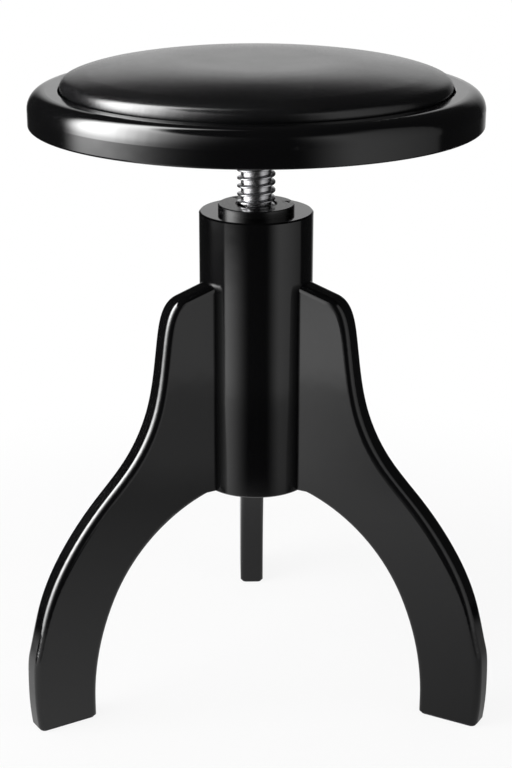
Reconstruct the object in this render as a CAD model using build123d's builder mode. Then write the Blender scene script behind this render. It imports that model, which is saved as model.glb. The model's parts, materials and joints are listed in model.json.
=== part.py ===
"""Revolving piano stool: a padded round seat on a steel screw, in a turned column on three sawn legs.

Millimetres, +Z up. The origin is on the floor, on the seat's turning axis. The rear leg points along +Y.
Turning the seat anticlockwise, seen from above, raises it: the screw has a right-hand thread.
"""

import os
from math import cos, radians, sin

from build123d import *

os.makedirs("parts", exist_ok=True)

# ---- column ---------------------------------------------------------------------------------------
column_radius = 45.0
column_height = 226.0
column_bottom = 173.0  # height above the floor
column_chamfer = 1.2
column_bore_radius = 20.0

# ---- legs: reaches and falls are measured from where the shoulder meets the column ------------------
leg_names = ("rear", "left", "right")
first_leg_angle = 90.0
leg_thickness = 21.0
leg_seat_height = 173.0  # length of column that a leg stands against
shoulder_reach, shoulder_fall = 23.5, 7.0
neck_reach, neck_fall = 41.0, 36.0
neck_lean = (0.16, -1.0)  # direction of the outline where it passes the neck
waist_reach, waist_fall = 51.5, 96.0
foot_radius, foot_height = 208.0, 32.0  # where a leg is furthest out
s_shape = ((0.19, 0.184), (0.446, 0.321), (0.731, 0.505), (0.899, 0.688), (0.969, 0.826))  # waist to foot
toe_set_back = 2.0  # of the sole's front from there
foot_length = 52.0  # from there back to the heel
heel_height = 14.0  # the arch is upright below this height
arch_set_back, arch_height = 19.8, 100.0  # from the heel, where the arch tightens
arch_start_rise = 1.2  # of the arch above the column's end
outer_edge_round = 5.5
inner_edge_round = 4.5

# ---- sliding dovetails ------------------------------------------------------------------------------
dovetail_depth = 16.0
dovetail_neck = 12.0
dovetail_root = 17.0
dovetail_stop = 12.0  # from the shoulder down to the socket's closed end
joint_gap = 0.1

# ---- foot pads --------------------------------------------------------------------------------------
foot_pad_thickness = 2.0
foot_pad_inset = 1.5

# ---- base plate -------------------------------------------------------------------------------------
base_plate_radius = 39.0
base_plate_thickness = 2.0
base_plate_hole_radius = 21.0
base_screw_ring = 33.5

# ---- screw and nut ----------------------------------------------------------------------------------
thread_radius = 15.0
thread_lead = 6.35  # four turns to the inch
turns_down = 7
turns_up = 12
running_gap = 0.1
end_gap = 0.3
nut_flange_radius = 30.0
nut_flange_thickness = 5.6
nut_flange_chamfer = 0.6
nut_mouth_chamfer = 1.5
nut_barrel_length = 42.0
nut_barrel_gap = 0.05
nut_screw_ring = 25.0
nut_screw_count = 3
nut_screw_angle = 10.0
grub_angle = 330.0
grub_radius = 2.0
grub_length = 12.0
grub_set_back = 1.5  # of its end from the flange's edge
grub_socket_radius = 1.0
grub_socket_depth = 2.0

# ---- spindle ----------------------------------------------------------------------------------------
spindle_chamfer = 1.5
spindle_neck_radius = 8.0
spindle_neck_end = 1.0  # that stands out of the lock nut
spigot_radius = 8.0
stop_washer_radius = 18.5
stop_washer_thickness = 3.0
washer_float = 0.4
stop_bolt_radius = 5.0
stop_bolt_length = 20.0
stop_bolt_across_flats = 17.0
stop_bolt_head = 6.0
bolt_chamfer = 0.8

# ---- seat plate -------------------------------------------------------------------------------------
hub_height = 12.5
hub_bottom_radius = 20.0
hub_top_radius = 27.0
hub_fillet = 4.0
seat_plate_radius = 65.0
seat_plate_thickness = 5.0
seat_plate_chamfer = 1.0
seat_screw_ring = 50.0
seat_screw_count = 4
seat_screw_angle = 45.0
lock_nut_across_flats = 24.0
lock_nut_thickness = 8.0
lock_nut_room = 1.2
lower_gap = 2.4  # left between hub and nut when the seat is right down

# ---- seat frame -------------------------------------------------------------------------------------
seat_radius = 175.0
seat_thickness = 27.0
seat_edge_round = 14.0
seat_lower_round = 1.5
recess_radius = 151.0
recess_depth = 12.0
recess_edge_round = 1.5

# ---- upholstered pad --------------------------------------------------------------------------------
cover_thickness = 1.2
cover_side_gap = 0.8
hem_width = 24.0
pad_board_thickness = 8.0
pad_draw_in = 1.0  # of the pad's sides towards its foot
pad_overhang = 1.6  # that the pad swells out by, above the frame's ring
pad_overhang_height = 1.6  # above the ring, where it has swollen out
pad_overhang_round = 3.0
crown_height = 21.0  # of the pad's middle above the ring
crown_edge = 8.2  # height above the ring at which the crown would meet the side
crown_edge_round = 5.8
lining_gap = 0.2
pad_screw_ring = 100.0
pad_screw_count = 3

# ---- countersunk wood screws: shank radius, length, head radius ---------------------------------------
nut_screw = (2.2, 30.0, 4.2)
seat_screw = (2.4, 14.0, 4.6)
pad_screw = (2.0, 21.0, 3.8)
base_screw = (2.0, 22.0, 3.8)
screw_gap = 0.05

# ---- what follows from the sizes above ----------------------------------------------------------------
touch = 0.001
column_top = column_bottom + column_height
shoulder_height = column_bottom + leg_seat_height
socket_height = leg_seat_height - dovetail_stop
toe_radius = foot_radius - toe_set_back
heel_radius = foot_radius - foot_length
waist = (column_radius + waist_reach, shoulder_height - waist_fall)
s_points = [
    (waist[0] + out * (foot_radius - waist[0]), waist[1] + down * (foot_height - waist[1]))
    for out, down in s_shape
]
leg_angles = [first_leg_angle + 360 * number / len(leg_names) for number in range(len(leg_names))]
nut_top = column_top + nut_flange_thickness
nut_bottom = column_top - nut_barrel_length
hub_bottom = nut_top + lower_gap + turns_down * thread_lead
plate_bottom = hub_bottom + hub_height
seat_bottom = plate_bottom + seat_plate_thickness
seat_top = seat_bottom + seat_thickness
recess_floor = seat_top - recess_depth
neck_top = seat_bottom + lock_nut_thickness + spindle_neck_end
spindle_bottom = nut_bottom - end_gap - turns_up * thread_lead
spigot_bottom = spindle_bottom - stop_washer_thickness - washer_float
pad_board_bottom = recess_floor + cover_thickness
pad_board_top = pad_board_bottom + pad_board_thickness
cover_radius = recess_radius - cover_side_gap
base_plate_bottom = column_bottom - base_plate_thickness
grub_height = column_top + nut_flange_thickness / 2
grub_end = nut_flange_radius - grub_set_back


def write(part, name):
    """Label a finished piece and write its file."""
    part.label = name
    export_step(part, f"parts/{name}.step")


def outward(angle):
    """The level direction that points away from the axis at an angle."""
    return Vector(cos(radians(angle)), sin(radians(angle)), 0)


def level(height, angle=0.0):
    """A level plane at a height, turned about the axis."""
    return Plane(origin=(0, 0, height), x_dir=outward(angle), z_dir=(0, 0, 1))


def upright(angle):
    """A plane through the axis: its x runs outwards at an angle, its y runs up."""
    return Plane(origin=(0, 0, 0), x_dir=outward(angle), z_dir=outward(angle - 90))


# ---- screws -------------------------------------------------------------------------------------------


def countersunk_screw(size, gap=0.0):
    """A wood screw, head up on the XY plane. With a gap it is the hole that the screw needs."""
    shank, length, head = size
    with BuildPart() as screw:
        with BuildSketch(Plane.XZ):
            with BuildLine():
                Polyline(
                    (0, 0),
                    (head + gap, 0),
                    (shank + gap, shank - head),
                    (shank + gap, 2 * shank - length),
                    (0, -length - gap),
                    close=True,
                )
            make_face()
        revolve(axis=Axis.Z)
    return screw.part


def on_circle(solid, count, radius, first_angle, height, head_down=False):
    """Copies of a solid on a circle about the axis, each a solid of its own."""
    copies = []
    for number in range(count):
        place = outward(first_angle + 360 * number / count) * radius
        turned = Rot(180, 0, 0) * solid if head_down else solid
        copies.append(Pos(place.X, place.Y, height) * turned)
    return Compound(children=copies)


def nut_screws(gap=0.0):
    """Screws down through the nut's flange into the column's end grain."""
    screw = countersunk_screw(nut_screw, gap)
    return on_circle(screw, nut_screw_count, nut_screw_ring, nut_screw_angle, nut_top)


def base_plate_screws(gap=0.0):
    """Screws up through the base plate: one into each dovetail and one between each two."""
    screw = countersunk_screw(base_screw, gap)
    count = 2 * len(leg_names)
    return on_circle(screw, count, base_screw_ring, first_leg_angle, base_plate_bottom, head_down=True)


def seat_plate_screws(gap=0.0):
    """Screws up through the seat plate into the seat frame."""
    screw = countersunk_screw(seat_screw, gap)
    return on_circle(screw, seat_screw_count, seat_screw_ring, seat_screw_angle, plate_bottom, head_down=True)


def pad_screws(gap=0.0):
    """Screws up through the seat frame into the pad's board."""
    screw = countersunk_screw(pad_screw, gap)
    return on_circle(screw, pad_screw_count, pad_screw_ring, first_leg_angle, seat_bottom, head_down=True)


# ---- column: a turned post, bored right through, with a dovetail socket for each leg --------------------


def dovetail(gap=0.0):
    """Corners of a dovetail in the plan, from beyond the column's face inwards to its wide root."""
    mouth = column_radius + dovetail_depth
    tip = column_radius - dovetail_depth - gap
    neck = dovetail_neck / 2 + gap
    root = dovetail_root / 2 + gap
    half = [(mouth, neck), (column_radius, neck), (tip, root)]
    return [(x, -y) for x, y in half] + half[::-1]


with BuildPart() as column:
    with BuildSketch(level(column_bottom)):
        Circle(column_radius)
        Circle(column_bore_radius, mode=Mode.SUBTRACT)
    extrude(amount=column_height)
    rims = column.edges().filter_by(GeomType.CIRCLE).filter_by(lambda rim: rim.radius == column_radius)
    chamfer(rims, column_chamfer)
    for angle in leg_angles:
        with BuildSketch(level(column_bottom, angle)):
            Polygon(*dovetail(joint_gap), align=None)
    extrude(amount=socket_height + joint_gap, mode=Mode.SUBTRACT)
    add(nut_screws(screw_gap), mode=Mode.SUBTRACT)
    add(base_plate_screws(screw_gap), mode=Mode.SUBTRACT)
write(column.part, "column")


# ---- legs: boards sawn to an S outside and an arch inside, scribed to the column ------------------------


def edges_along(faces, curves):
    """Edges of a leg's broad faces that lie over curves of its outline."""

    def lies_over(edge):
        middle = edge @ 0.5
        return any(curve.distance_to(Vector(middle.X, middle.Z)) < touch for curve in curves)

    return faces.edges().filter_by(lies_over)


with BuildPart() as tail:
    with BuildSketch(level(column_bottom)):
        Circle(column_radius)
        Polygon(*dovetail(), align=None, mode=Mode.INTERSECT)
    extrude(amount=socket_height)

with BuildPart() as leg:
    with BuildSketch(upright(0).offset(-leg_thickness / 2)):
        with BuildLine():
            top = Line((column_radius - dovetail_depth, shoulder_height), (column_radius, shoulder_height))
            slope = Line(top @ 1, (column_radius + shoulder_reach, shoulder_height - shoulder_fall))
            corner = Spline(
                slope @ 1,
                (column_radius + neck_reach, shoulder_height - neck_fall),
                tangents=[slope % 1, neck_lean],
            )
            s_curve = Spline(
                corner @ 1,
                waist,
                *s_points,
                (foot_radius, foot_height),
                tangents=[neck_lean, (0, -1)],
            )
            toe = TangentArc(s_curve @ 1, (toe_radius, foot_pad_thickness), tangent=s_curve % 1)
            sole = Line(toe @ 1, (heel_radius, foot_pad_thickness))
            heel = Line(sole @ 1, (heel_radius, heel_height))
            arch = TangentArc(heel @ 1, (heel_radius - arch_set_back, arch_height), tangent=heel % 1)
            crotch = TangentArc(arch @ 1, (column_radius, column_bottom + arch_start_rise), tangent=arch % 1)
            root = Line(crotch @ 1, (column_radius - dovetail_depth, column_bottom + arch_start_rise))
            Line(root @ 1, top @ 0)
        make_face()
    extrude(amount=leg_thickness)
    fillet(edges_along(leg.faces().filter_by(Axis.Y), [slope, corner, s_curve, toe]), outer_edge_round)
    fillet(edges_along(leg.faces().filter_by(Axis.Y), [heel, arch, crotch]), inner_edge_round)
    with BuildSketch(level(0)):
        Circle(column_radius)
    extrude(amount=column_top, mode=Mode.SUBTRACT)
    add(tail.part)

for name, angle in zip(leg_names, leg_angles):
    with BuildPart() as placed_leg:
        add(leg.part, rotation=(0, 0, angle))
        add(base_plate_screws(screw_gap), mode=Mode.SUBTRACT)
    write(placed_leg.part, f"leg_{name}")

# ---- foot pads: felt, a little smaller than the sole they are glued to -----------------------------------

with BuildPart() as foot_pad:
    with BuildSketch(level(0)) as footprint:
        with Locations(((heel_radius + toe_radius) / 2, 0)):
            Rectangle(toe_radius - heel_radius - 2 * foot_pad_inset, leg_thickness - 2 * foot_pad_inset)
        fillet(footprint.vertices(), outer_edge_round - foot_pad_inset)
    extrude(amount=foot_pad_thickness)

for name, angle in zip(leg_names, leg_angles):
    write(Rot(0, 0, angle) * foot_pad.part, f"foot_pad_{name}")

# ---- base plate: a washer that closes the sockets from below ---------------------------------------------

with BuildPart() as base_plate:
    with BuildSketch(level(base_plate_bottom)):
        Circle(base_plate_radius)
        Circle(base_plate_hole_radius, mode=Mode.SUBTRACT)
    extrude(amount=base_plate_thickness)
    add(base_plate_screws(screw_gap), mode=Mode.SUBTRACT)
write(base_plate.part, "base_plate")
write(base_plate_screws(), "base_plate_screws")

# ---- nut: a flange on the column's end grain and a long barrel down its bore -----------------------------

with BuildPart() as grub_screw:
    with BuildSketch(Plane.YZ.offset(grub_end - grub_length)):
        with Locations((0, grub_height)):
            Circle(grub_radius)
    extrude(amount=grub_length)
    with BuildSketch(Plane.YZ.offset(grub_end)):
        with Locations((0, grub_height)):
            RegularPolygon(grub_socket_radius, 6, major_radius=False)
    extrude(amount=-grub_socket_depth, mode=Mode.SUBTRACT)
write(Rot(0, 0, grub_angle) * grub_screw.part, "nut_grub_screw")

with BuildPart() as spindle_nut:
    with BuildSketch(level(column_top)):
        Circle(nut_flange_radius)
    extrude(amount=nut_flange_thickness)
    chamfer(spindle_nut.edges().group_by(Axis.Z)[-1], nut_flange_chamfer)
    with BuildSketch(level(nut_bottom)):
        Circle(column_bore_radius - nut_barrel_gap)
    extrude(amount=nut_barrel_length)
    with BuildSketch(level(nut_bottom)):
        Circle(thread_radius + running_gap)
    extrude(amount=nut_barrel_length + nut_flange_thickness, mode=Mode.SUBTRACT)
    mouth = spindle_nut.edges().group_by(Axis.Z)[-1].sort_by(SortBy.RADIUS)[0]
    chamfer(mouth, nut_mouth_chamfer)
    with BuildSketch(Plane.XZ.rotated((0, 0, grub_angle - first_leg_angle))):
        with Locations((0, grub_height)):
            Circle(grub_radius + screw_gap)
    extrude(amount=-nut_flange_radius, mode=Mode.SUBTRACT)
    add(nut_screws(screw_gap), mode=Mode.SUBTRACT)
write(spindle_nut.part, "spindle_nut")
write(nut_screws(), "nut_screws")

# ---- spindle: a steel screw, turned down at its top for the seat plate and below for the stop ------------

with BuildPart() as spindle:
    with BuildSketch(Plane.XZ):
        with BuildLine():
            Polyline(
                (0, spigot_bottom),
                (spigot_radius, spigot_bottom),
                (spigot_radius, spindle_bottom),
                (thread_radius, spindle_bottom),
                (thread_radius, hub_bottom),
                (spindle_neck_radius, hub_bottom),
                (spindle_neck_radius, neck_top),
                (0, neck_top),
                close=True,
            )
        make_face()
    revolve(axis=Axis.Z)
    thread_start = spindle.edges().filter_by(GeomType.CIRCLE).sort_by(SortBy.RADIUS)[-2:].sort_by(Axis.Z)[0]
    chamfer([thread_start, spindle.edges().sort_by(Axis.Z)[-1]], spindle_chamfer)
    with BuildSketch(level(spigot_bottom)):
        Circle(stop_bolt_radius + screw_gap)
    extrude(amount=stop_bolt_length + screw_gap, mode=Mode.SUBTRACT)
write(spindle.part, "spindle")

with BuildPart() as stop_washer:
    with BuildSketch(level(spigot_bottom + washer_float / 2)):
        Circle(stop_washer_radius)
        Circle(spigot_radius + running_gap, mode=Mode.SUBTRACT)
    extrude(amount=stop_washer_thickness)
write(stop_washer.part, "stop_washer")

with BuildPart() as stop_bolt:
    with BuildSketch(level(spigot_bottom - stop_bolt_head)):
        RegularPolygon(stop_bolt_across_flats / 2, 6, major_radius=False)
    extrude(amount=stop_bolt_head)
    chamfer(stop_bolt.edges().group_by(Axis.Z)[0], bolt_chamfer)
    with BuildSketch(level(spigot_bottom)):
        Circle(stop_bolt_radius)
    extrude(amount=stop_bolt_length)
write(stop_bolt.part, "stop_bolt")

# ---- seat plate: a plate with a hub, clamped to the spindle's neck by the lock nut -----------------------

with BuildPart() as seat_plate:
    with BuildSketch(Plane.XZ):
        with BuildLine():
            Polyline(
                (spindle_neck_radius + screw_gap, hub_bottom),
                (hub_bottom_radius, hub_bottom),
                (hub_top_radius, plate_bottom),
                (seat_plate_radius, plate_bottom),
                (seat_plate_radius, seat_bottom),
                (spindle_neck_radius + screw_gap, seat_bottom),
                close=True,
            )
        make_face()
    revolve(axis=Axis.Z)
    circles = seat_plate.edges().filter_by(GeomType.CIRCLE)
    fillet(circles.filter_by(lambda circle: circle.radius == hub_top_radius), hub_fillet)
    circles = seat_plate.edges().filter_by(GeomType.CIRCLE)
    chamfer(circles.filter_by(lambda circle: circle.radius == seat_plate_radius), seat_plate_chamfer)
    add(seat_plate_screws(screw_gap), mode=Mode.SUBTRACT)
write(seat_plate.part, "seat_plate")
write(seat_plate_screws(), "seat_plate_screws")

with BuildPart() as lock_nut:
    with BuildSketch(level(seat_bottom)):
        RegularPolygon(lock_nut_across_flats / 2, 6, major_radius=False)
    extrude(amount=lock_nut_thickness)
    chamfer(lock_nut.edges().group_by(Axis.Z)[-1], bolt_chamfer)
    with BuildSketch(level(seat_bottom)):
        Circle(spindle_neck_radius + screw_gap)
    extrude(amount=lock_nut_thickness, mode=Mode.SUBTRACT)
write(lock_nut.part, "spindle_lock_nut")

# ---- seat frame: a turned round with a full rounded edge and a recess for the pad ------------------------

with BuildPart() as seat_frame:
    with BuildSketch(level(seat_bottom)):
        Circle(seat_radius)
    extrude(amount=seat_thickness)
    fillet(seat_frame.edges().sort_by(Axis.Z)[-1], seat_edge_round)
    fillet(seat_frame.edges().sort_by(Axis.Z)[0], seat_lower_round)
    with BuildSketch(level(recess_floor)):
        Circle(recess_radius)
    extrude(amount=recess_depth, mode=Mode.SUBTRACT)
    rims = seat_frame.edges().filter_by(GeomType.CIRCLE).filter_by(lambda rim: rim.radius == recess_radius)
    fillet(rims.sort_by(Axis.Z)[-1], recess_edge_round)
    with BuildSketch(level(seat_bottom)):
        Circle(lock_nut_across_flats / 2 / cos(radians(30)) + lock_nut_room)
    extrude(amount=neck_top - seat_bottom + lock_nut_room, mode=Mode.SUBTRACT)
    add(seat_plate_screws(screw_gap), mode=Mode.SUBTRACT)
    add(pad_screws(screw_gap), mode=Mode.SUBTRACT)
write(seat_frame.part, "seat_frame")

# ---- upholstered pad: board, crowned foam and a cover that turns in under the board ----------------------


def pad_shape(bottom, inset=0.0):
    """The pad's full form above a height, drawn in all round by an inset."""
    side = cover_radius - inset
    widest = side + pad_overhang
    with BuildPart() as shape:
        with BuildSketch(Plane.XZ) as half:
            with BuildLine():
                foot = Line((0, bottom), (side - pad_draw_in, bottom))
                wall = Line(foot @ 1, (side, seat_top))
                swell = Line(wall @ 1, (widest, seat_top + pad_overhang_height))
                shoulder = Line(swell @ 1, (widest, seat_top + crown_edge - inset))
                crown = TangentArc((0, seat_top + crown_height - inset), shoulder @ 1, tangent=(1, 0))
                Line(crown @ 0, foot @ 0)
            make_face()
            fillet(half.vertices().group_by(Axis.X)[-1].sort_by(Axis.Y)[-1], crown_edge_round - inset)
            fillet(half.vertices().group_by(Axis.X)[-1].sort_by(Axis.Y)[0], pad_overhang_round)
        revolve(axis=Axis.Z)
    return shape.part


with BuildPart() as pad_board:
    with BuildSketch(level(pad_board_bottom)):
        Circle(cover_radius - pad_draw_in - cover_thickness - lining_gap)
    extrude(amount=pad_board_thickness)
    add(pad_screws(screw_gap), mode=Mode.SUBTRACT)
write(pad_board.part, "pad_board")
write(pad_screws(), "pad_screws")

write(pad_shape(pad_board_top, cover_thickness + lining_gap), "pad_foam")

with BuildPart() as pad_cover:
    add(pad_shape(recess_floor))
    add(pad_shape(pad_board_bottom, cover_thickness), mode=Mode.SUBTRACT)
    with BuildSketch(level(recess_floor)):
        Circle(cover_radius - hem_width)
    extrude(amount=cover_thickness, mode=Mode.SUBTRACT)
write(pad_cover.part, "pad_cover")
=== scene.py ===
# %% [markdown]
# # A revolving piano stool, dressed for its portrait
#
# The stool is a black lacquered turning: a round seat with a leather pad, a steel screw under it, a plain
# column and three sawn legs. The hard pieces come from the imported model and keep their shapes. Here they
# get their finishes, and the pieces that need more form than a plain solid are modelled: the screw's
# thread, the upholstered pad and the heads of the wood screws.
# Everything is in metres, and the floor is at height zero.

import json
import math

import bmesh
import bpy
from mathutils import Matrix, Vector


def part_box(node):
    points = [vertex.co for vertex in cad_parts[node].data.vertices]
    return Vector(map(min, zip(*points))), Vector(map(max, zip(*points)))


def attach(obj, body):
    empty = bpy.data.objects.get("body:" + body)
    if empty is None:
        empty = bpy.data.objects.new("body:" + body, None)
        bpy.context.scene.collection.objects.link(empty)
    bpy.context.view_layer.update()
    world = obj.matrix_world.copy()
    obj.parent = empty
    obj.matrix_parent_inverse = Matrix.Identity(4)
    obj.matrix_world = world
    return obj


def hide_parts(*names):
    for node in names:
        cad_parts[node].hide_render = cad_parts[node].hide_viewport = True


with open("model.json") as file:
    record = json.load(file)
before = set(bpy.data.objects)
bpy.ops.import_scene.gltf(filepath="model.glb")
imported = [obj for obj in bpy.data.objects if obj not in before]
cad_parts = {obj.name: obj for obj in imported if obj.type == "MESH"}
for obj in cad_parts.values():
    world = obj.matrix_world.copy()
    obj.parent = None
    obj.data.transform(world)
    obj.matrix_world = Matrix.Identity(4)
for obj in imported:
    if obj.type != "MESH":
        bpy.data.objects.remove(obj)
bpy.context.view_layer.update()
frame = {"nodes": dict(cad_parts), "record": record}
nodes = frame["nodes"]
print("pieces in the packed model:", len(nodes))

# %% [markdown]
# ## Camera
#
# The photograph looks down on the stool from about the height of a table. A long lens keeps the column's
# sides nearly upright. The distance, the height and the tilt were worked out from the ellipses of the seat
# and the places of the feet.

# %% Camera
camera_distance = 1.3075  # from the turning axis, level
camera_height = 0.7176
camera_tilt = math.radians(19.505)  # down from level
camera_turn = math.radians(-1.37)  # round the axis, from straight in front
camera_roll = math.radians(0.08)
focal_share = 1709.4 / 768  # focal length as a share of the picture's height
sensor_height = 36.0

camera_data = bpy.data.cameras.new("portrait_camera")
camera_data.sensor_fit = "VERTICAL"
camera_data.sensor_height = sensor_height
camera_data.lens = sensor_height * focal_share
camera = bpy.data.objects.new("portrait_camera", camera_data)
bpy.context.scene.collection.objects.link(camera)
around = Matrix.Rotation(camera_turn, 4, "Z")
stand = Matrix.Translation((0, -camera_distance, camera_height))
tilt = Matrix.Rotation(math.pi / 2 - camera_tilt, 4, "X")
roll = Matrix.Rotation(camera_roll, 4, "Z")
camera.matrix_world = around @ stand @ tilt @ roll
bpy.context.scene.camera = camera
print("lens:", round(camera_data.lens, 1), "mm")

# %% [markdown]
# ## Small helpers
#
# Every new piece starts from nothing selected and is finished with its object at the origin. Colours are
# written as the hex values that a paint chart would give, and one function turns them into the linear
# values that the renderer counts in.

# %% Helpers for pieces
merge_distance = 0.000002  # two corners this near to each other are one


def deselect():
    """Leave nothing selected and nothing being edited."""
    if bpy.context.object and bpy.context.object.mode != "OBJECT":
        bpy.ops.object.mode_set(mode="OBJECT")
    bpy.ops.object.select_all(action="DESELECT")


def select(piece):
    """Make one piece the selected and active one."""
    deselect()
    piece.select_set(True)
    bpy.context.view_layer.objects.active = piece


def settle(piece, name):
    """Name a piece and put its place into its mesh, so that its object sits at the origin."""
    select(piece)
    bpy.ops.object.transform_apply(location=True, rotation=True, scale=True)
    piece.name = name
    piece.data.name = name
    return piece


def join(pieces, name):
    """Make one object of several."""
    deselect()
    for piece in pieces:
        piece.select_set(True)
    bpy.context.view_layer.objects.active = pieces[0]
    bpy.ops.object.join()
    return settle(bpy.context.object, name)


def apply_all(piece):
    """Apply every modifier of a piece in its order."""
    select(piece)
    for modifier in list(piece.modifiers):
        bpy.ops.object.modifier_apply(modifier=modifier.name)


def merged_copy(node, name):
    """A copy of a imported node's mesh with its loose triangles joined up."""
    piece = bpy.data.objects.new(name, nodes[node].data.copy())
    bpy.context.scene.collection.objects.link(piece)
    piece.data.materials.clear()
    select(piece)
    bpy.ops.object.mode_set(mode="EDIT")
    bpy.ops.mesh.select_all(action="SELECT")
    bpy.ops.mesh.remove_doubles(threshold=merge_distance)
    bpy.ops.object.mode_set(mode="OBJECT")
    return piece


def finish_piece(piece, material, body, slot, *replaced):
    """Give a new piece its material, its body and the nodes that it stands for. The slot is not used."""
    piece.data.materials.clear()
    piece.data.materials.append(material)
    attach(piece, body)
    if replaced:
        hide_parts(*replaced)
    print(piece.name, "faces:", len(piece.data.polygons))


# %% Helpers for finishes


def linear(hex_colour):
    """A colour from its sRGB hex value, as linear numbers, by the sRGB curve's own constants."""
    channels = [int(hex_colour[start : start + 2], 16) / 255 for start in (1, 3, 5)]
    return [c / 12.92 if c <= 0.04045 else ((c + 0.055) / 1.055) ** 2.4 for c in channels] + [1.0]


def new_material(name):
    """An empty material with its shader. Returns the material, its node tree and the shader."""
    material = bpy.data.materials.new(name)
    material.use_nodes = True
    return material, material.node_tree, material.node_tree.nodes["Principled BSDF"]


def fill(tree, node, inputs):
    """Fill a node's inputs: a socket or another node is linked, and a constant is set on the node itself."""
    for key, value in inputs.items():
        if isinstance(value, bpy.types.Node):
            value = value.outputs[0]
        if isinstance(value, bpy.types.NodeSocket):
            tree.links.new(value, node.inputs[key])
        else:
            node.inputs[key].default_value = value


def add_node(tree, kind, inputs, **settings):
    """Add a node with its settings, its values and its links."""
    node = tree.nodes.new(kind)
    for key, value in settings.items():
        setattr(node, key, value)
    fill(tree, node, inputs)
    return node


# %% [markdown]
# ## Black polished lacquer
#
# The column, legs and seat frame are beech under many coats of black lacquer, rubbed down and polished. The
# base is almost pure black; all that the eye sees is what the surface mirrors. A real polished lacquer
# isn't quite flat: it has a long, very shallow wave from the rubbing and a faint haze of fine scratches.
# Waves about 20 mm long bend the reflections a little, and a cloudy change of roughness stands for the haze.

# %% Lacquer


def polished_lacquer():
    """Polished black lacquer on beech: deep black, sharp reflections with a slight wave."""
    wave_length, haze_size = 0.020, 0.045
    material, tree, shader = new_material("polished_black_lacquer")
    place = add_node(tree, "ShaderNodeTexCoord", {}).outputs["Object"]
    wave = add_node(tree, "ShaderNodeTexNoise", {"Vector": place, "Scale": 1 / wave_length, "Detail": 1.0})
    haze = add_node(tree, "ShaderNodeTexNoise", {"Vector": place, "Scale": 1 / haze_size, "Detail": 6.0})
    rough = add_node(tree, "ShaderNodeMapRange", {"Value": haze, "To Min": 0.06, "To Max": 0.14})
    bump = add_node(tree, "ShaderNodeBump", {"Height": wave, "Strength": 0.15, "Distance": 0.0004})
    fill(tree, shader, {"Base Color": linear("#0a0a0b"), "IOR": 1.5, "Roughness": rough, "Normal": bump})
    return material


lacquer = polished_lacquer()
print("finish:", lacquer.name)

# %% [markdown]
# ## Steel, zinc plate and black paint
#
# The spindle is bright turned steel. Turning leaves fine rings that run round it, about 0.4 mm apart. The
# small screws, the washer and the base plate are zinc plated: paler, a little blue and duller, with the
# soft patches that plating leaves. The nut and the seat plate are painted black, with the slight ripple of
# sprayed paint.

# %% Metals


def turned_steel():
    """Bright turned steel: a clear metal mirror with fine rings round the bar and a few faint stains."""
    ring_spacing, stain_size = 0.0004, 0.010
    material, tree, shader = new_material("bright_turned_steel")
    place = add_node(tree, "ShaderNodeTexCoord", {}).outputs["Object"]
    drawn = add_node(tree, "ShaderNodeMapping", {"Vector": place, "Scale": (0.05, 0.05, 1.0)})
    rings = add_node(tree, "ShaderNodeTexNoise", {"Vector": drawn, "Scale": 1 / ring_spacing, "Detail": 2.0})
    stain = add_node(tree, "ShaderNodeTexNoise", {"Vector": place, "Scale": 1 / stain_size, "Detail": 4.0})
    ramp = add_node(tree, "ShaderNodeValToRGB", {"Fac": stain})
    ramp.color_ramp.elements[0].color = linear("#a2a2a5")
    ramp.color_ramp.elements[1].color = linear("#d6d6d8")
    rough = add_node(tree, "ShaderNodeMapRange", {"Value": rings, "To Min": 0.18, "To Max": 0.32})
    bump = add_node(tree, "ShaderNodeBump", {"Height": rings, "Strength": 0.2, "Distance": 0.00005})
    fill(tree, shader, {"Base Color": ramp, "Metallic": 1.0, "Roughness": rough, "Normal": bump})
    return material


def zinc_plate():
    """Bright zinc plating: pale bluish metal, with soft patches of a duller sheen."""
    patch_size = 0.004
    material, tree, shader = new_material("bright_zinc_plate")
    place = add_node(tree, "ShaderNodeTexCoord", {}).outputs["Object"]
    patch = add_node(tree, "ShaderNodeTexNoise", {"Vector": place, "Scale": 1 / patch_size, "Detail": 4.0})
    ramp = add_node(tree, "ShaderNodeValToRGB", {"Fac": patch})
    ramp.color_ramp.elements[0].color = linear("#a4a8ad")
    ramp.color_ramp.elements[1].color = linear("#cdd1d6")
    rough = add_node(tree, "ShaderNodeMapRange", {"Value": patch, "To Min": 0.22, "To Max": 0.42})
    fill(tree, shader, {"Base Color": ramp, "Metallic": 1.0, "Roughness": rough})
    return material


def black_paint():
    """Sprayed black gloss paint on steel: black, with a fine ripple about 1.5 mm long."""
    ripple_size = 0.0015
    material, tree, shader = new_material("sprayed_black_paint")
    place = add_node(tree, "ShaderNodeTexCoord", {}).outputs["Object"]
    ripple = add_node(tree, "ShaderNodeTexNoise", {"Vector": place, "Scale": 1 / ripple_size, "Detail": 1.0})
    rough = add_node(tree, "ShaderNodeMapRange", {"Value": ripple, "To Min": 0.16, "To Max": 0.30})
    bump = add_node(tree, "ShaderNodeBump", {"Height": ripple, "Strength": 0.2, "Distance": 0.0001})
    fill(tree, shader, {"Base Color": linear("#0e0e0f"), "IOR": 1.5, "Roughness": rough, "Normal": bump})
    return material


steel = turned_steel()
zinc = zinc_plate()
paint = black_paint()
print("finishes:", steel.name, zinc.name, paint.name)

# %% [markdown]
# ## Leather, felt, plywood and foam
#
# The pad is covered in black leather with a fine pebbled grain and a satin top coat. The grain's pebbles are
# about 0.9 mm wide on the real cover. They are drawn 1.4 mm wide, so that they show in the picture. Creases
# are duller than the tops of the pebbles, because polish doesn't reach them.
# The felt of the foot pads, the pad's plywood board and its foam are out of sight, but each has its own
# surface for anyone who turns the stool over or takes it apart.

# %% Soft finishes


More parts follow.
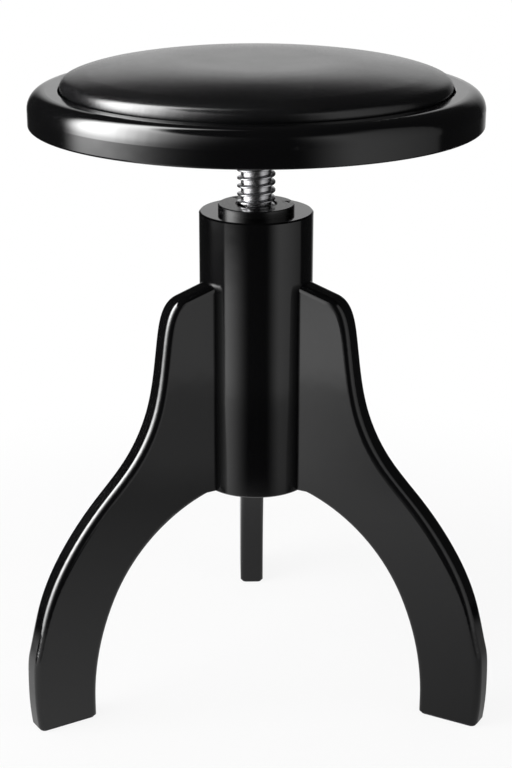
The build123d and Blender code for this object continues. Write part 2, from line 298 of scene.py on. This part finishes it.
def grained_leather():
    """Black leather with a satin coat: pebbles with dull creases between them, and a slow change of sheen."""
    pebble_size, sheen_size = 0.0014, 0.05
    pull_size, pull_length = 0.003, 0.0011  # the pebbles' rows are pulled about by this much
    material, tree, shader = new_material("grained_black_leather")
    place = add_node(tree, "ShaderNodeTexCoord", {}).outputs["Object"]
    drift = add_node(tree, "ShaderNodeTexNoise", {"Vector": place, "Scale": 1 / pull_size, "Detail": 2.0})
    pull = add_node(
        tree, "ShaderNodeVectorMath", {0: drift.outputs["Color"], 1: (pull_length,) * 3}, operation="MULTIPLY"
    )
    pulled = add_node(tree, "ShaderNodeVectorMath", {0: place, 1: pull}, operation="ADD")
    grain = add_node(
        tree, "ShaderNodeTexVoronoi", {"Vector": pulled, "Scale": 1 / pebble_size}, feature="DISTANCE_TO_EDGE"
    )
    pebble = add_node(tree, "ShaderNodeMapRange", {"Value": grain, "From Max": 0.12})
    slow = add_node(tree, "ShaderNodeTexNoise", {"Vector": place, "Scale": 1 / sheen_size, "Detail": 3.0})
    gloss = add_node(tree, "ShaderNodeMapRange", {"Value": slow, "To Min": 0.15, "To Max": 0.22})
    dull = add_node(tree, "ShaderNodeMapRange", {"Value": pebble, "To Min": 0.08, "To Max": 0.0})
    rough = add_node(tree, "ShaderNodeMath", {0: gloss, 1: dull}, operation="ADD")
    bump = add_node(tree, "ShaderNodeBump", {"Height": pebble, "Strength": 0.15, "Distance": 0.00005})
    fill(tree, shader, {"Base Color": linear("#0d0d0e"), "IOR": 1.5, "Roughness": rough, "Normal": bump})
    return material


def fibrous(name, dark, light, size, stretch=(1.0, 1.0, 1.0), roughness=0.9):
    """A dull surface of fibres, veins or bubbles, one size in metres and between two colours."""
    material, tree, shader = new_material(name)
    place = add_node(tree, "ShaderNodeTexCoord", {}).outputs["Object"]
    run = add_node(tree, "ShaderNodeMapping", {"Vector": place, "Scale": stretch})
    fibre = add_node(tree, "ShaderNodeTexNoise", {"Vector": run, "Scale": 1 / size, "Detail": 5.0})
    ramp = add_node(tree, "ShaderNodeValToRGB", {"Fac": fibre})
    ramp.color_ramp.elements[0].position = 0.3
    ramp.color_ramp.elements[0].color = linear(dark)
    ramp.color_ramp.elements[1].position = 0.7
    ramp.color_ramp.elements[1].color = linear(light)
    bump = add_node(tree, "ShaderNodeBump", {"Height": fibre, "Strength": 0.5, "Distance": size / 4})
    fill(tree, shader, {"Base Color": ramp, "Roughness": roughness, "Normal": bump})
    return material


leather = grained_leather()
felt = fibrous("pressed_grey_felt", "#1f1f21", "#47474b", 0.0008)
plywood = fibrous("birch_plywood", "#b48c5c", "#dcc094", 0.004, (0.08, 1.0, 1.0), 0.6)
foam = fibrous("open_cell_foam", "#c9bd8c", "#efe6c0", 0.0012)
print("finishes:", leather.name, felt.name, plywood.name, foam.name)

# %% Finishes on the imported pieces
finish_of_slot = {
    "lacquered_wood": lacquer,
    "polished_steel": steel,
    "zinc_plated_steel": zinc,
    "blackened_steel": paint,
    "leather": leather,
    "felt": felt,
    "plywood": plywood,
    "foam": foam,
}
for entry in frame["record"]["subparts"]:
    mesh = nodes[entry["node"]].data
    mesh.materials.clear()
    mesh.materials.append(finish_of_slot[entry["material_slot"]])

# %% [markdown]
# ## The spindle's thread
#
# The spindle is a bar with a coarse trapezoid thread, four turns to the inch, cut right-handed: turned
# anticlockwise, the seat rises. One tooth is drawn as a line, one lead high, and a Screw modifier sweeps it
# round the axis while it climbs. The climb leaves a ragged slope at each end, so the bar is cut level there
# and closed. The plain spigot at its foot and the plain neck at its top are two short cylinders.

# %% Thread
thread_lead = 0.00635
crest_radius = 0.015
root_radius = 0.012
crest_width = 0.0009
crest_edge = 0.0004  # rounding of the crest's two corners
root_width = 0.0032
thread_bottom = 0.2805
thread_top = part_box("seat_plate")[0][2]
thread_steps = 64  # round each turn
spare_turns = 2  # that the two level cuts take off again
turns_below = 1.5  # of these, under the thread's foot

flank = (thread_lead - crest_width - root_width) / 2 - crest_edge
tooth = [
    (root_radius, 0.0),
    (root_radius, root_width),
    (crest_radius - crest_edge, root_width + flank),
    (crest_radius, root_width + flank + crest_edge),
    (crest_radius, root_width + flank + crest_edge + crest_width),
    (crest_radius - crest_edge, thread_lead - flank),
    (root_radius, thread_lead),
]

deselect()
bpy.ops.mesh.primitive_plane_add(size=thread_lead)
thread = bpy.context.object
bpy.ops.object.mode_set(mode="EDIT")
bpy.ops.mesh.delete(type="ONLY_FACE")
square = bmesh.from_edit_mesh(thread.data)
for corner in square.verts:
    corner.select_set(corner.co.x > 0)
square.select_flush(True)
bpy.ops.mesh.delete(type="VERT")
bpy.ops.mesh.select_all(action="SELECT")
bpy.ops.mesh.subdivide(number_cuts=len(tooth) - 2)
line = bmesh.from_edit_mesh(thread.data)
in_order = sorted(line.verts, key=lambda corner: corner.co.y)
for corner, (radius, height) in zip(in_order, tooth):
    corner.co = (radius, 0.0, height)
bmesh.update_edit_mesh(thread.data)
bpy.ops.object.mode_set(mode="OBJECT")
turns = math.ceil((thread_top - thread_bottom) / thread_lead) + spare_turns
thread.location.z = thread_bottom - thread_lead * turns_below
bpy.ops.object.transform_apply(location=True, rotation=True, scale=True)
sweep = thread.modifiers.new("sweep", "SCREW")
sweep.screw_offset = thread_lead
sweep.iterations = turns
sweep.steps = thread_steps
sweep.render_steps = thread_steps
sweep.use_merge_vertices = True
sweep.merge_threshold = merge_distance
apply_all(thread)
bpy.ops.object.mode_set(mode="EDIT")
bpy.ops.mesh.select_all(action="SELECT")
bpy.ops.mesh.remove_doubles(threshold=merge_distance)
bpy.ops.mesh.bisect(plane_co=(0, 0, thread_top), plane_no=(0, 0, 1), use_fill=True, clear_outer=True)
bpy.ops.mesh.select_all(action="SELECT")
bpy.ops.mesh.bisect(plane_co=(0, 0, thread_bottom), plane_no=(0, 0, 1), use_fill=True, clear_inner=True)
bpy.ops.mesh.select_all(action="SELECT")
bpy.ops.mesh.normals_make_consistent(inside=False)
bpy.ops.object.mode_set(mode="OBJECT")
print("thread turns:", turns, "faces:", len(thread.data.polygons))

# %% Spigot and neck
spigot_radius = 0.008
spigot_edge = 0.0006
overlap = 0.001  # of the plain ends and the thread, so that no gap is left
sharp_from = math.radians(25)  # edges with more bend than this stay sharp


def plain_end(low, high):
    """A plain bevelled cylinder of the spigot's radius, between two heights."""
    deselect()
    bpy.ops.mesh.primitive_cylinder_add(
        vertices=48, radius=spigot_radius, depth=high - low, location=(0, 0, (low + high) / 2)
    )
    end = bpy.context.object
    round_over = end.modifiers.new("edges", "BEVEL")
    round_over.width = spigot_edge
    round_over.segments = 2
    apply_all(end)
    return end


spindle_low, spindle_high = (corner[2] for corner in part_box("spindle"))
spigot = plain_end(spindle_low, thread_bottom + overlap)
neck = plain_end(thread_top - overlap, spindle_high)
spindle = join([thread, spigot, neck], "spindle_with_thread")
select(spindle)
bpy.ops.object.shade_smooth_by_angle(angle=sharp_from)
finish_piece(spindle, steel, "seat", "polished_steel", "spindle")

# %% [markdown]
# ## Screw heads
#
# The wood screws have cross recesses. Each packed screw is a plain countersunk pin, so a copy of it is
# joined up and a cross is cut into its head: two crossed bars, tapered towards their tips, taken away with a
# Boolean modifier. The same cut serves all the screws, at the size of each head.

# %% Cross recesses
recess_length, recess_width, recess_depth = 1.15, 0.24, 0.75  # as shares of the head's radius
tip_length, tip_width = 0.45, 0.6  # of the recess's floor, as shares of its mouth
recess_turn = 0.3  # in radians, as a hand leaves a screw
head_sharp_from = math.radians(30)


def cross_cutter(middle, height, head_radius, upwards):
    """Two bars of a tapered cross, which reach into a screw's head from just outside it."""
    bars = []
    for turn in (recess_turn, recess_turn + math.pi / 2):
        deselect()
        bpy.ops.mesh.primitive_cube_add(size=1.0, location=(middle[0], middle[1], height))
        bar = bpy.context.object
        bar.scale = (head_radius * recess_length, head_radius * recess_width, head_radius * recess_depth * 2)
        bar.rotation_euler.z = turn
        bpy.ops.object.transform_apply(location=False, rotation=False, scale=True)
        bpy.ops.object.mode_set(mode="EDIT")
        bar_mesh = bmesh.from_edit_mesh(bar.data)
        for corner in bar_mesh.verts:
            tip = corner.co.z < 0 if upwards else corner.co.z > 0
            if tip:
                corner.co.x *= tip_length
                corner.co.y *= tip_width
        bmesh.update_edit_mesh(bar.data)
        bpy.ops.object.mode_set(mode="OBJECT")
        bars.append(settle(bar, "bar"))
    return bars


def islands(mesh):
    """The places of the corners of each separate solid in a mesh."""
    form = bmesh.new()
    form.from_mesh(mesh)
    left = set(form.verts)
    groups = []
    while left:
        group, edge_of_group = set(), [left.pop()]
        while edge_of_group:
            corner = edge_of_group.pop()
            group.add(corner)
            for link in corner.link_edges:
                other = link.other_vert(corner)
                if other in left:
                    left.discard(other)
                    edge_of_group.append(other)
        groups.append([tuple(corner.co) for corner in group])
    form.free()
    return groups


def cross_headed_screws(node, material, body, slot, upwards):
    """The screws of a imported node, with a cross cut into each head. Upwards is true for heads on top."""
    screws = merged_copy(node, node + "_cross_headed")
    for corners in islands(screws.data):
        heights = [corner[2] for corner in corners]
        height = max(heights) if upwards else min(heights)
        middle = [(min(c[axis] for c in corners) + max(c[axis] for c in corners)) / 2 for axis in (0, 1)]
        head_radius = (max(c[0] for c in corners) - min(c[0] for c in corners)) / 2
        for bar in cross_cutter(middle, height, head_radius, upwards):
            cut = screws.modifiers.new("cross", "BOOLEAN")
            cut.operation = "DIFFERENCE"
            cut.solver = "EXACT"
            cut.object = bar
            apply_all(screws)
            bpy.data.objects.remove(bar)
    select(screws)
    bpy.ops.object.shade_smooth_by_angle(angle=head_sharp_from)
    finish_piece(screws, material, body, slot, node)


cross_headed_screws("nut_screws", paint, "base", "blackened_steel", True)
cross_headed_screws("seat_plate_screws", zinc, "seat", "zinc_plated_steel", False)
cross_headed_screws("base_plate_screws", zinc, "base", "zinc_plated_steel", False)
cross_headed_screws("pad_screws", zinc, "seat", "zinc_plated_steel", False)

# %% [markdown]
# ## The upholstered pad
#
# The real pad is a plywood board with a thick foam, and the leather is pulled over both and stapled
# underneath. It could be a turned outline, but that looks as hard as wood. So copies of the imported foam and
# board are the start. They are remeshed as one and grown by the leather's thickness. A cloth simulation
# under pressure swells the pad a little while its foot stays pinned in the frame, and then it is refined
# once and smoothed.

# %% Pad under pressure
voxel = 0.003
leather_thickness = 0.0013
held_below = 0.0005  # under the ring's top the leather can't move
pressure = 4.0
pressed_frames = 20
cloth_quality = 4  # sums for each frame
most_swelling = 0.001  # that is kept of the cloth's movement
smoothing_share, smoothing_steps = 0.5, 70
pad_low, pad_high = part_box("pad_foam")
ring_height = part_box("seat_frame")[1][2]
pad_radius = (pad_high[0] - pad_low[0]) / 2

pad = join([merged_copy("pad_foam", "foam_copy"), merged_copy("pad_board", "board_copy")], "leather_pad")
pad.data.remesh_voxel_size = voxel
pad.data.remesh_voxel_adaptivity = 0.0
bpy.ops.object.voxel_remesh()
grow = pad.modifiers.new("leather", "DISPLACE")
grow.strength = leather_thickness
grow.mid_level = 0.0
apply_all(pad)
start_places = [corner.co.copy() for corner in pad.data.vertices]
print("pad corners after the remesh:", len(start_places))

pinned = pad.vertex_groups.new(name="pinned")
held = [corner.index for corner in pad.data.vertices if corner.co.z < ring_height - held_below]
pinned.add(held, 1.0, "REPLACE")
cloth = pad.modifiers.new("swelling", "CLOTH")
cloth.settings.vertex_group_mass = "pinned"
cloth.settings.use_pressure = True
cloth.settings.uniform_pressure_force = pressure
cloth.settings.effector_weights.gravity = 0.0
cloth.settings.quality = cloth_quality
cloth.point_cache.frame_start = 1
cloth.point_cache.frame_end = pressed_frames
for moment in range(1, pressed_frames + 1):
    bpy.context.scene.frame_set(moment)
apply_all(pad)
bpy.context.scene.frame_set(1)
pad.vertex_groups.clear()
largest = 0.0
for corner, place in zip(pad.data.vertices, start_places):
    move = corner.co - place
    largest = max(largest, move.length)
    if move.length > most_swelling:
        corner.co = place + move * (most_swelling / move.length)
print("largest swelling before the cap:", round(largest * 1000, 2), "mm")

refine = pad.modifiers.new("refine", "SUBSURF")
refine.levels = 1
refine.render_levels = 1
soften = pad.modifiers.new("soften", "SMOOTH")
soften.factor = smoothing_share
soften.iterations = smoothing_steps
apply_all(pad)
print("pad corners after refining:", len(pad.data.vertices))

# %% [markdown]
# ## The pad's form
#
# Pulled leather lies level where the board carries it, falls away evenly round that and rolls over a smooth
# shoulder into the frame. The remesh leaves faint steps on the shoulder, which a polished surface would show
# at once. So the corners are moved by sums: the middle is made level, and each corner of the shoulder goes
# to the mean outline of the whole pad. Last come the gathers, where the leather's spare fullness is taken
# in: many slight creases of uneven length and depth, all round the edge.

# %% Level middle
level_radius = 0.055  # that the board keeps level under the foam
crown_fall = 1.3  # of the crown outside it, in metres per square metre
lowered = 0.0012  # by which the whole top is pulled down
crown_radius = 0.897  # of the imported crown's sphere
level_reach = 0.010  # above the ring, over which the change sets in
for corner in pad.data.vertices:
    radius = math.hypot(corner.co.x, corner.co.y)
    wanted = -lowered - crown_fall * max(radius - level_radius, 0.0) ** 2
    share = min(max((corner.co.z - ring_height) / level_reach, 0.0), 1.0)
    corner.co.z += share * (wanted + radius**2 / (2 * crown_radius))
print("level middle's radius:", level_radius, "m")

# %% Even shoulder
roll_middle = (pad_radius - 0.014, ring_height - 0.004)  # out and up, round which the shoulder rolls over
roll_width = 0.012  # inwards from that middle, to the end of the shoulder
roll_fade = 0.008  # of this width, over which the change sets in
outline_steps = 60
distances = [[] for _ in range(outline_steps + 1)]
shoulder = []
for corner in pad.data.vertices:
    radius = math.hypot(corner.co.x, corner.co.y)
    out, up = radius - roll_middle[0], corner.co.z - roll_middle[1]
    if up > 0 and out > -roll_width:
        place = math.atan2(up, out) / math.pi * outline_steps
        distance = math.hypot(out, up)
        shoulder.append((corner, radius, out, place, distance))
        distances[round(place)].append(distance)
mean_distances = [sum(found) / len(found) if found else None for found in distances]
for corner, radius, out, place, distance in shoulder:
    low = min(int(place), outline_steps - 1)
    below, above = mean_distances[low : low + 2]
    if below is None or above is None:
        continue
    mean = below + (above - below) * (place - low)
    share = min((out + roll_width) / roll_fade, 1.0)
    change = 1 + share * (mean / distance - 1)
    stretch = (roll_middle[0] + out * change) / radius
    corner.co.x *= stretch
    corner.co.y *= stretch
    corner.co.z = roll_middle[1] + (corner.co.z - roll_middle[1]) * change
print("corners on the shoulder:", len(shoulder))

# %% Gathers at the pad's edge
gather_count = 64
gather_depth = 0.00003
gather_reach = 0.010  # inwards over the crown, from the pad's side
gather_foot = 0.001  # under the ring's top, where the gathers end
gather_end = 2.5  # reaches from the side, past which the pad stays plain
gather_rise = 0.02  # how little the press leans upwards, in metres beside the radius


def unevenness(turn, first, second, third):
    """A number from 0 to 1 that wanders with the angle round the pad."""
    wander = math.sin(first * turn + 0.7) + math.sin(second * turn + 2.1) + math.sin(third * turn + 4.4)
    return 0.5 + wander / 6


for corner in pad.data.vertices:
    radius = math.hypot(corner.co.x, corner.co.y)
    inwards = max(pad_radius - radius, 0.0)
    if corner.co.z < ring_height - gather_foot or inwards > gather_end * gather_reach:
        continue
    turn = math.atan2(corner.co.y, corner.co.x)
    reach = gather_reach * (0.4 + unevenness(turn, 5, 11, 17))
    depth = gather_depth * unevenness(turn, 3, 7, 19) * math.exp(-((inwards / reach) ** 2))
    crease = math.sin(gather_count * turn + 2.0 * math.sin(5 * turn + 1.0) + 1.3 * math.sin(9 * turn))
    outwards = Vector((corner.co.x, corner.co.y, gather_rise)).normalized()
    corner.co += outwards * depth * (crease - 1.0) / 2 + Vector((0, 0, depth * (crease - 1.0) / 2))

select(pad)
bpy.ops.object.shade_smooth()
finish_piece(pad, leather, "seat", "leather", "pad_cover", "pad_foam")
print("pad's top:", round(max(corner.co.z for corner in pad.data.vertices), 4))

# %% [markdown]
# ## Floor and background
#
# The stool stands on a plain white sheet before a white background. To the camera both are plain white. The
# sheet stays partly a real white surface near the stool, so that it keeps the stool's soft shadow.

# %% Floor and background
world_light = 0.45  # of the soft light from all round, as a share of white
floor_radius = 0.75
floor_height = -0.0002  # just under the feet
shadow_radius = 0.32  # round the axis, within which the sheet keeps its shadow in full
shadow_end = 0.9  # of the sheet's radius, outside which it keeps none
shadow_share = 0.12  # of the sheet's look that is left to real light and shadow there


def background_share(tree):
    """One for the camera's, mirrored and transmitted rays, and nought for the light that falls on things."""
    path = add_node(tree, "ShaderNodeLightPath", {})
    share = path.outputs["Is Camera Ray"]
    for kind in ("Is Glossy Ray", "Is Transmission Ray"):
        share = add_node(tree, "ShaderNodeMath", {0: share, 1: path.outputs[kind]}, operation="MAXIMUM")
    return share


def white_sheet():
    """Matt white paper that glows white to the camera, and keeps a share of its real look near the stool."""
    material, tree, shader = new_material("white_sheet")
    fill(tree, shader, {"Base Color": linear("#f4f4f4"), "Roughness": 0.9})
    glow = add_node(tree, "ShaderNodeEmission", {"Color": linear("#ffffff"), "Strength": 1.0})
    place = add_node(tree, "ShaderNodeTexCoord", {}).outputs["Object"]
    from_axis = add_node(tree, "ShaderNodeVectorMath", {0: place}, operation="LENGTH").outputs["Value"]
    fade = {"Value": from_axis, "From Min": shadow_radius, "From Max": floor_radius * shadow_end}
    fade["To Min"] = 1 - shadow_share
    plain = add_node(tree, "ShaderNodeMapRange", fade, interpolation_type="SMOOTHSTEP")
    glowing = add_node(tree, "ShaderNodeMath", {0: background_share(tree), 1: plain}, operation="MULTIPLY")
    both = add_node(tree, "ShaderNodeMixShader", {"Fac": glowing, 1: shader, 2: glow})
    fill(tree, tree.nodes["Material Output"], {"Surface": both})
    return material


world = bpy.data.worlds.new("white_background")
bpy.context.scene.world = world
world.use_nodes = True
sky = world.node_tree
sky.nodes.clear()
white = add_node(sky, "ShaderNodeBackground", {"Color": linear("#ffffff"), "Strength": 1.0})
soft = add_node(sky, "ShaderNodeBackground", {"Color": linear("#ffffff"), "Strength": world_light})
seen = add_node(sky, "ShaderNodeMixShader", {"Fac": background_share(sky), 1: soft, 2: white})
add_node(sky, "ShaderNodeOutputWorld", {"Surface": seen})

deselect()
bpy.ops.mesh.primitive_circle_add(
    vertices=128, radius=floor_radius, fill_type="NGON", location=(0, 0, floor_height)
)
floor = settle(bpy.context.object, "white_sheet")
floor.data.materials.append(white_sheet())
print("floor radius:", floor_radius, "m")

# %% [markdown]
# ## What the lacquer mirrors
#
# Black lacquer has almost no colour of its own. It shows what it mirrors, so it is lit as a photographer
# lights a black car: the room is kept dark, and a few pale surfaces stand where the lacquer should shine. The
# lamps could do both jobs, but then each bright reflection would also throw a hard light on the floor. So the
# mirrored room is separate, and only mirrored rays meet it: a large soft box on the left, a low sheet under
# it, a dim sheet on the right and a paler one behind for the flat tops. They are drawn on the inside of one
# large ball. Each is placed by two angles in degrees: its turn round the stool from the camera's side, to the
# right, and its rise above the horizon. Each has soft edges, given as the angles where it starts and is full.

# %% Helpers for the mirrored room


def met_by_mirrored_rays_only(surface, material):
    """Give a surface round the stool its material, and hide it from all but mirrored rays."""
    surface.data.materials.append(material)
    surface.visible_camera = False
    surface.visible_diffuse = False
    surface.visible_transmission = False
    surface.visible_shadow = False


def all_of(tree, *parts):
    """The product of several numbers."""
    product = parts[0]
    for part in parts[1:]:
        product = add_node(tree, "ShaderNodeMath", {0: product, 1: part}, operation="MULTIPLY")
    return product


def sum_of(tree, *parts):
    """The sum of several numbers."""
    total = parts[0]
    for part in parts[1:]:
        total = add_node(tree, "ShaderNodeMath", {0: total, 1: part}, operation="ADD")
    return total


def soft_edge(tree, value, start, end):
    """A number that goes smoothly from 0 at the start to 1 at the end. The start may be the larger one."""
    span = {"Value": value, "From Min": start, "From Max": end}
    return add_node(tree, "ShaderNodeMapRange", span, interpolation_type="SMOOTHSTEP")


def away_from(tree, value, middle, half_width):
    """How far a number is from a middle, counted in half widths."""
    away = add_node(tree, "ShaderNodeMath", {0: value, 1: middle}, operation="SUBTRACT")
    return add_node(tree, "ShaderNodeMath", {0: away, 1: half_width}, operation="DIVIDE")


def bell(tree, away):
    """A bell-shaped glow: 1 in the middle, and down to about a third one half width away."""
    return add_node(tree, "ShaderNodeMath", {0: all_of(tree, away, away, -1.0)}, operation="EXPONENT")


def turn_from(tree, across, along):
    """The angle of a place round the stool, in degrees from the side that it is measured along."""
    angle = add_node(tree, "ShaderNodeMath", {0: across, 1: along}, operation="ARCTAN2")
    return add_node(tree, "ShaderNodeMath", {0: angle}, operation="DEGREES")


def place_and_turn(tree):
    """A place, the same as X, Y and Z, and its turn round the stool from the camera's side."""
    place = add_node(tree, "ShaderNodeTexCoord", {}).outputs["Object"]
    axes = add_node(tree, "ShaderNodeSeparateXYZ", {"Vector": place}).outputs
    return place, axes, turn_from(tree, axes["X"], all_of(tree, axes["Y"], -1.0))


def shine(tree, strength):
    """Make a material plain light of this strength, where 1 is white."""
    light = add_node(tree, "ShaderNodeEmission", {"Strength": strength})
    fill(tree, tree.nodes["Material Output"], {"Surface": light})


def low_sheet_across(tree, turn):
    """The low sheet's brightness across its width: a sharp left edge, and fading to the right."""
    return all_of(tree, soft_edge(tree, turn, -14, -76), soft_edge(tree, turn, -70, -66))


def right_sheet_across(tree, turn):
    """The right sheet's brightness across its width: a soft left edge, and a sharp one on the right."""
    soft_left, soft_right = soft_edge(tree, turn, 18, 50), soft_edge(tree, turn, 130, 40)
    return all_of(tree, soft_left, soft_right, soft_edge(tree, turn, 101, 97))


# %% Mirrored room
room_radius = 20.0
darkness = 0.02  # of the unlit room, where white is 1, as in the glows below
soft_box_glow, low_sheet_glow, right_sheet_glow, back_sheet_glow = 24.0, 2.5, 0.85, 0.8
box_turn, box_turn_back = -82.5, 0.0105  # in degrees, and in degrees for each square degree of rise
box_half_width, box_widening = 24.5, 0.006  # the same


# painted reflections: the room's glow is met only by mirrored rays, so it lights nothing directly
def mirrored_room():
    """The four pale surfaces in the dark, by turn and rise."""
    material, tree, _ = new_material("mirrored_room")
    _, axes, turn = place_and_turn(tree)
    from_behind = turn_from(tree, axes["X"], axes["Y"])
    height = add_node(tree, "ShaderNodeMath", {0: axes["Z"], 1: room_radius}, operation="DIVIDE")
    angle = add_node(tree, "ShaderNodeMath", {0: height}, operation="ARCSINE")
    rise = add_node(tree, "ShaderNodeMath", {0: angle}, operation="DEGREES")
    # the soft box leans back, so that it turns further round the stool and looks wider as it rises
    rise_squared = all_of(tree, rise, rise)
    turned_back = all_of(tree, rise_squared, box_turn_back)
    middle = add_node(tree, "ShaderNodeMath", {0: box_turn, 1: turned_back}, operation="SUBTRACT")
    half_width = sum_of(tree, box_half_width, all_of(tree, rise_squared, box_widening))
    box_across = away_from(tree, turn, middle, half_width)
    soft_box = all_of(
        tree,
        bell(tree, box_across),
        soft_edge(tree, box_across, -1.15, -0.45),  # its left side
        bell(tree, away_from(tree, rise, 32, 40)),
        soft_edge(tree, rise, -13.5, -7.5),  # its foot
        soft_edge(tree, rise, 68, 60),  # its top
        soft_box_glow,
    )
    low_sheet = all_of(
        tree,
        low_sheet_across(tree, turn),
        soft_edge(tree, rise, -12, -16),  # its top
        soft_edge(tree, rise, -44, -16),  # its foot, which fades all the way up
        low_sheet_glow,
    )
    right_sheet = all_of(
        tree,
        right_sheet_across(tree, turn),
        soft_edge(tree, rise, -46, -20),  # its foot
        soft_edge(tree, rise, 66, 48),  # its top
        right_sheet_glow,
    )
    back_sheet = all_of(
        tree,
        soft_edge(tree, from_behind, -20, -4),  # its left side
        soft_edge(tree, from_behind, 36, 4),  # its right side
        soft_edge(tree, rise, -22, -14),  # its foot
        soft_edge(tree, rise, 25, 16),  # its top
        back_sheet_glow,
    )
    shine(tree, sum_of(tree, darkness, soft_box, low_sheet, right_sheet, back_sheet))
    return material


deselect()
bpy.ops.mesh.primitive_uv_sphere_add(segments=96, ring_count=48, radius=room_radius)
met_by_mirrored_rays_only(settle(bpy.context.object, "mirrored_room"), mirrored_room())
print("mirrored room's radius:", room_radius, "m")

# %% [markdown]
# ## The floor that the lacquer mirrors
#
# The legs and the column's foot mirror the floor close by. In a real studio the light on the paper fades
# from the lamp's side to the other, so a plain white floor would make the legs look grey all over. A second
# sheet, which only mirrored rays meet, lies just over the first one. Its glow is painted light, a painted
# reflection of lit paper: it glows all over near the stool, and further out it carries on the low sheet and
# the right one, as seen from the stool.

# %% Sheet of painted light on the floor
paper_height = 0.0003
near_radius = 0.36  # within which the paper is lit all over
far_radius = 0.50  # outside which it shows only the low sheet and the right one
left_end, right_end = -0.35, 0.40  # along X, between which the near light fades
left_light, right_light = 0.90, 0.20  # of white, at those two ends
far_left_glow, far_right_glow = 1.65, 0.5  # of the two sheets, further out


def painted_lit_paper():
    """Painted light on the paper: fading to the right near the stool, and the sheets' own light further out.
    """
    material, tree, _ = new_material("painted_lit_paper")
    place, axes, turn = place_and_turn(tree)
    from_axis = add_node(tree, "ShaderNodeVectorMath", {0: place}, operation="LENGTH").outputs["Value"]
    fade = {"Value": axes["X"], "From Min": left_end, "From Max": right_end}
    fade.update({"To Min": left_light, "To Max": right_light})
    # painted light: bright on the left and fading to the right
    shade = add_node(tree, "ShaderNodeMapRange", fade)
    near_glow = all_of(tree, shade, soft_edge(tree, from_axis, far_radius, near_radius))
    far = soft_edge(tree, from_axis, near_radius, far_radius)
    left_glow = all_of(tree, low_sheet_across(tree, turn), far, far_left_glow)
    right_glow = all_of(tree, right_sheet_across(tree, turn), far, far_right_glow)
    shine(tree, sum_of(tree, left_glow, right_glow, near_glow))
    return material


deselect()
bpy.ops.mesh.primitive_circle_add(
    vertices=96, radius=floor_radius, fill_type="NGON", location=(0, 0, paper_height)
)
met_by_mirrored_rays_only(settle(bpy.context.object, "painted_lit_paper"), painted_lit_paper())
print("lit paper's radius:", floor_radius, "m")

# %% [markdown]
# ## Lamps
#
# Two soft lamps do the ordinary lighting: a strong one on the left, as in the photograph, and a weak one on
# the right that opens its shadows. They could be seen as bright squares in the lacquer, so mirrored rays miss
# them, and the mirrored room does that work.

# %% Lamps
aim_height = 0.25  # at which both lamps point


def soft_lamp(name, turn, distance, middle_height, width, height, strength):
    """A soft rectangular lamp at an angle from the camera's side, anticlockwise, facing the axis."""
    lamp_data = bpy.data.lights.new(name, "AREA")
    lamp_data.shape = "RECTANGLE"
    lamp_data.size = width
    lamp_data.size_y = height
    # an area light of this power has a face as bright as so many times white
    lamp_data.energy = strength * width * height * math.pi
    lamp = bpy.data.objects.new(name, lamp_data)
    bpy.context.scene.collection.objects.link(lamp)
    angle = math.radians(turn)
    lamp.location = (distance * math.sin(angle), -distance * math.cos(angle), middle_height)
    aim = Vector((0, 0, aim_height)) - lamp.location
    lamp.rotation_euler = aim.to_track_quat("-Z", "Y").to_euler()
    lamp.visible_camera = False
    lamp.visible_glossy = False


soft_lamp("left_lamp", turn=-70, distance=1.4, middle_height=1.1, width=1.0, height=1.4, strength=4.0)
soft_lamp("right_lamp", turn=62, distance=1.6, middle_height=0.9, width=1.0, height=1.6, strength=0.9)

# %% Colour view, and the end
bpy.context.scene.view_settings.view_transform = "Standard"
